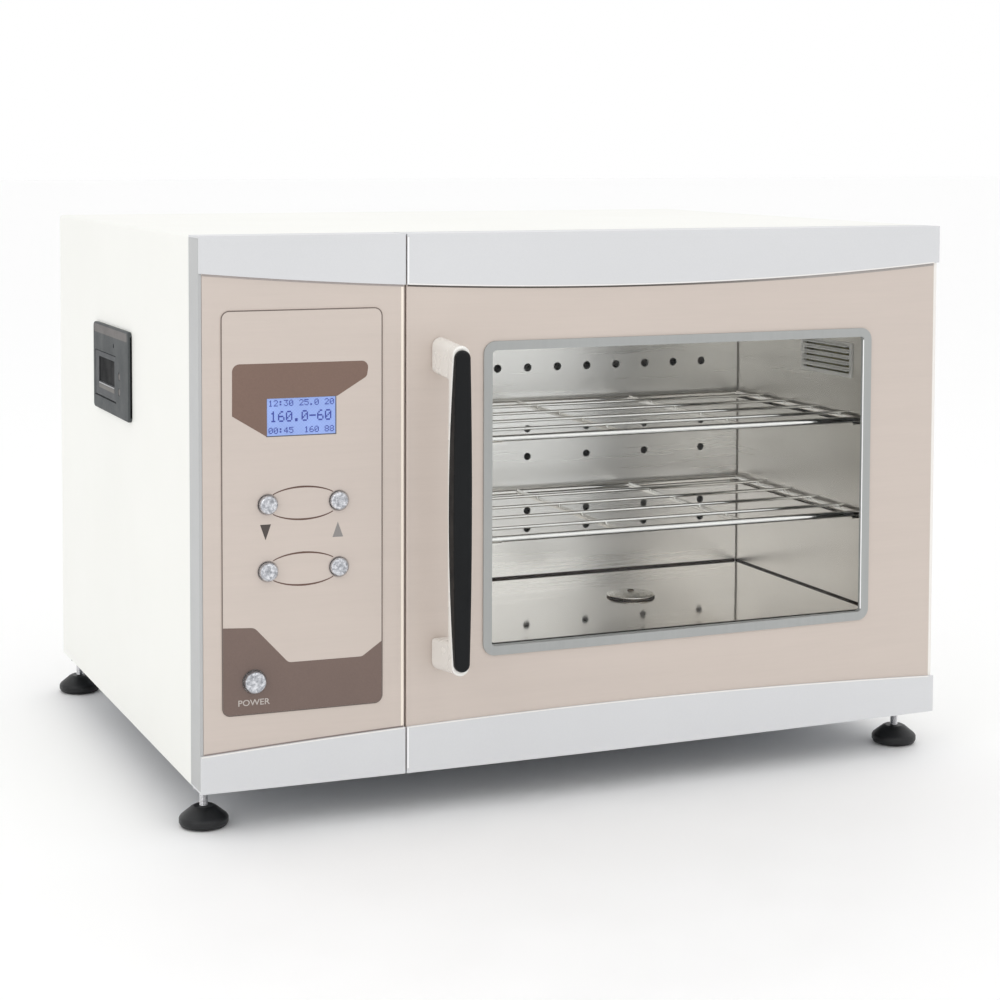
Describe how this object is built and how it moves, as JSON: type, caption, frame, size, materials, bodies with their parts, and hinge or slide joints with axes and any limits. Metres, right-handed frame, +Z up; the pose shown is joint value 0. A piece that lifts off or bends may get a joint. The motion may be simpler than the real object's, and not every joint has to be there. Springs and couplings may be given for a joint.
{
  "type": "dry heat sterilizer",
  "caption": "Bench-top dry heat sterilizer: bowed front, side-hinged glazed door with an upright handle, wire shelves, key panel with display, side strip printer, levelling feet.",
  "frame": {"origin": "on the bench under the middle of the whole object's box", "axes": "+X to the right as seen from the front, +Y to the rear (front faces -Y), +Z up"},
  "size_m": [0.5964, 0.5058, 0.4104],
  "materials": {
    "case_white": "fine satin powder coat",
    "zinc_steel": "zinc plated, satin",
    "stainless": "polished stainless sheet",
    "fascia_beige": "satin, fine horizontal brushing",
    "band_silver": "silver-grey satin",
    "trim_grey": "satin",
    "trim_bright": "satin anodised",
    "edge_white": "satin",
    "overlay_film": "printed polyester film",
    "display": "backlit blue display under a clear window",
    "board_green": "solder mask",
    "gasket_silicone": "matte silicone",
    "mineral_wool": "fibrous mat",
    "element_steel": "oxidised sheath",
    "motor_grey": "satin",
    "probe_steel": "drawn tube",
    "ceramic_white": "glazed",
    "inlet_black": "moulded thermoplastic",
    "chrome_plate": "bright plated",
    "magnet_dark": "bonded ferrite",
    "printer_grey": "moulded, fine texture",
    "printer_cover_grey": "moulded, fine texture",
    "printer_dark": "moulded",
    "door_glass": "clear toughened",
    "handle_silver": "silver satin",
    "grip_black": "satin black",
    "key_chrome": "satin domed caps",
    "foot_rubber": "moulded black rubber",
    "fan_alloy": "mill finish",
    "shelf_wire": "electropolished wire",
    "paper_white": "thermal paper"
  },
  "bodies": {
    "cabinet": {"base_pan": "zinc_steel", "outer_wrap": "case_white", "rear_panel": "case_white", "front_frame": "stainless", "fascia_panel": "fascia_beige", "fascia_top_band": "band_silver", "fascia_bottom_band": "band_silver", "fascia_side_trim": "trim_grey", "control_overlay": "overlay_film", "lcd_window": "display", "control_board": "board_green", "power_board": "board_green", "chamber_shell": "stainless", "chamber_back_wall": "stainless", "floor_vent_disc": "stainless", "side_louvre": "stainless", "shelf_runners": "stainless", "door_gasket": "gasket_silicone", "insulation_jacket": "mineral_wool", "heating_element": "element_steel", "fan_motor": "motor_grey", "temperature_probe": "probe_steel", "safety_thermostat": "ceramic_white", "power_inlet": "inlet_black", "hinge_brackets": "zinc_steel", "foot_nuts": "chrome_plate", "case_screws": "chrome_plate", "catch_magnets": "magnet_dark", "printer_bezel": "printer_grey", "printer_body": "printer_dark"},
    "door": {"door_panel": "fascia_beige", "door_side_trim": "edge_white", "door_top_band": "band_silver", "door_bottom_band": "band_silver", "window_trim": "trim_bright", "outer_glass": "door_glass", "inner_glass": "door_glass", "glass_spacer": "gasket_silicone", "door_inner_pan": "stainless", "handle_bow": "handle_silver", "handle_grip": "grip_black", "handle_screws": "chrome_plate"},
    "fan": {"fan_wheel": "fan_alloy"},
    "shelf_lower": {"lower_shelf": "shelf_wire"},
    "shelf_upper": {"upper_shelf": "shelf_wire"},
    "printer_lid": {"printer_cover": "printer_cover_grey"},
    "roll": {"paper_roll": "paper_white"},
    "power_button": {"power_key": "key_chrome"},
    "button_upper_left": {"key_upper_left": "key_chrome"},
    "button_upper_right": {"key_upper_right": "key_chrome"},
    "button_lower_left": {"key_lower_left": "key_chrome"},
    "button_lower_right": {"key_lower_right": "key_chrome"},
    "foot_front_left": {"foot_pad_front_left": "foot_rubber", "foot_stud_front_left": "chrome_plate"},
    "foot_front_right": {"foot_pad_front_right": "foot_rubber", "foot_stud_front_right": "chrome_plate"},
    "foot_rear_left": {"foot_pad_rear_left": "foot_rubber", "foot_stud_rear_left": "chrome_plate"},
    "foot_rear_right": {"foot_pad_rear_right": "foot_rubber", "foot_stud_rear_right": "chrome_plate"}
  },
  "joints": [
    {"name": "door_hinge", "type": "hinge", "parent": "cabinet", "child": "door", "pos_m": [0.2825, -0.1949, 0.2214], "axis": [0, 0, 1], "range_deg": [0, 105]},
    {"name": "fan_spin", "type": "hinge", "parent": "cabinet", "child": "fan", "pos_m": [0.0905, 0.0551, 0.2259], "axis": [0, 1, 0], "continuous": true},
    {"name": "lower_shelf_slide", "type": "slide", "parent": "cabinet", "child": "shelf_lower", "axis": [0, -1, 0], "range_m": [-0.005, 0.008]},
    {"name": "upper_shelf_slide", "type": "slide", "parent": "cabinet", "child": "shelf_upper", "axis": [0, -1, 0], "range_m": [-0.005, 0.008]},
    {"name": "printer_cover_hinge", "type": "hinge", "parent": "cabinet", "child": "printer_lid", "pos_m": [-0.2943, 0.0631, 0.275], "axis": [0, -1, 0], "range_deg": [0, 90]},
    {"name": "paper_roll_spin", "type": "hinge", "parent": "cabinet", "child": "roll", "pos_m": [-0.2655, 0.0611, 0.2944], "axis": [0, 1, 0], "continuous": true},
    {"name": "power_button_press", "type": "slide", "parent": "cabinet", "child": "power_button", "axis": [0, 1, 0], "range_m": [0, 0.0012], "stiffness_N_per_m": 800},
    {"name": "button_upper_left_press", "type": "slide", "parent": "cabinet", "child": "button_upper_left", "axis": [0, 1, 0], "range_m": [0, 0.0012], "stiffness_N_per_m": 800},
    {"name": "button_upper_right_press", "type": "slide", "parent": "cabinet", "child": "button_upper_right", "axis": [0, 1, 0], "range_m": [0, 0.0012], "stiffness_N_per_m": 800},
    {"name": "button_lower_left_press", "type": "slide", "parent": "cabinet", "child": "button_lower_left", "axis": [0, 1, 0], "range_m": [0, 0.0012], "stiffness_N_per_m": 800},
    {"name": "button_lower_right_press", "type": "slide", "parent": "cabinet", "child": "button_lower_right", "axis": [0, 1, 0], "range_m": [0, 0.0012], "stiffness_N_per_m": 800},
    {"name": "foot_front_left_level", "type": "slide", "parent": "cabinet", "child": "foot_front_left", "axis": [0, 0, -1], "range_m": [-0.004, 0.008]},
    {"name": "foot_front_right_level", "type": "slide", "parent": "cabinet", "child": "foot_front_right", "axis": [0, 0, -1], "range_m": [-0.004, 0.008]},
    {"name": "foot_rear_left_level", "type": "slide", "parent": "cabinet", "child": "foot_rear_left", "axis": [0, 0, -1], "range_m": [-0.004, 0.008]},
    {"name": "foot_rear_right_level", "type": "slide", "parent": "cabinet", "child": "foot_rear_right", "axis": [0, 0, -1], "range_m": [-0.004, 0.008]}
  ]
}
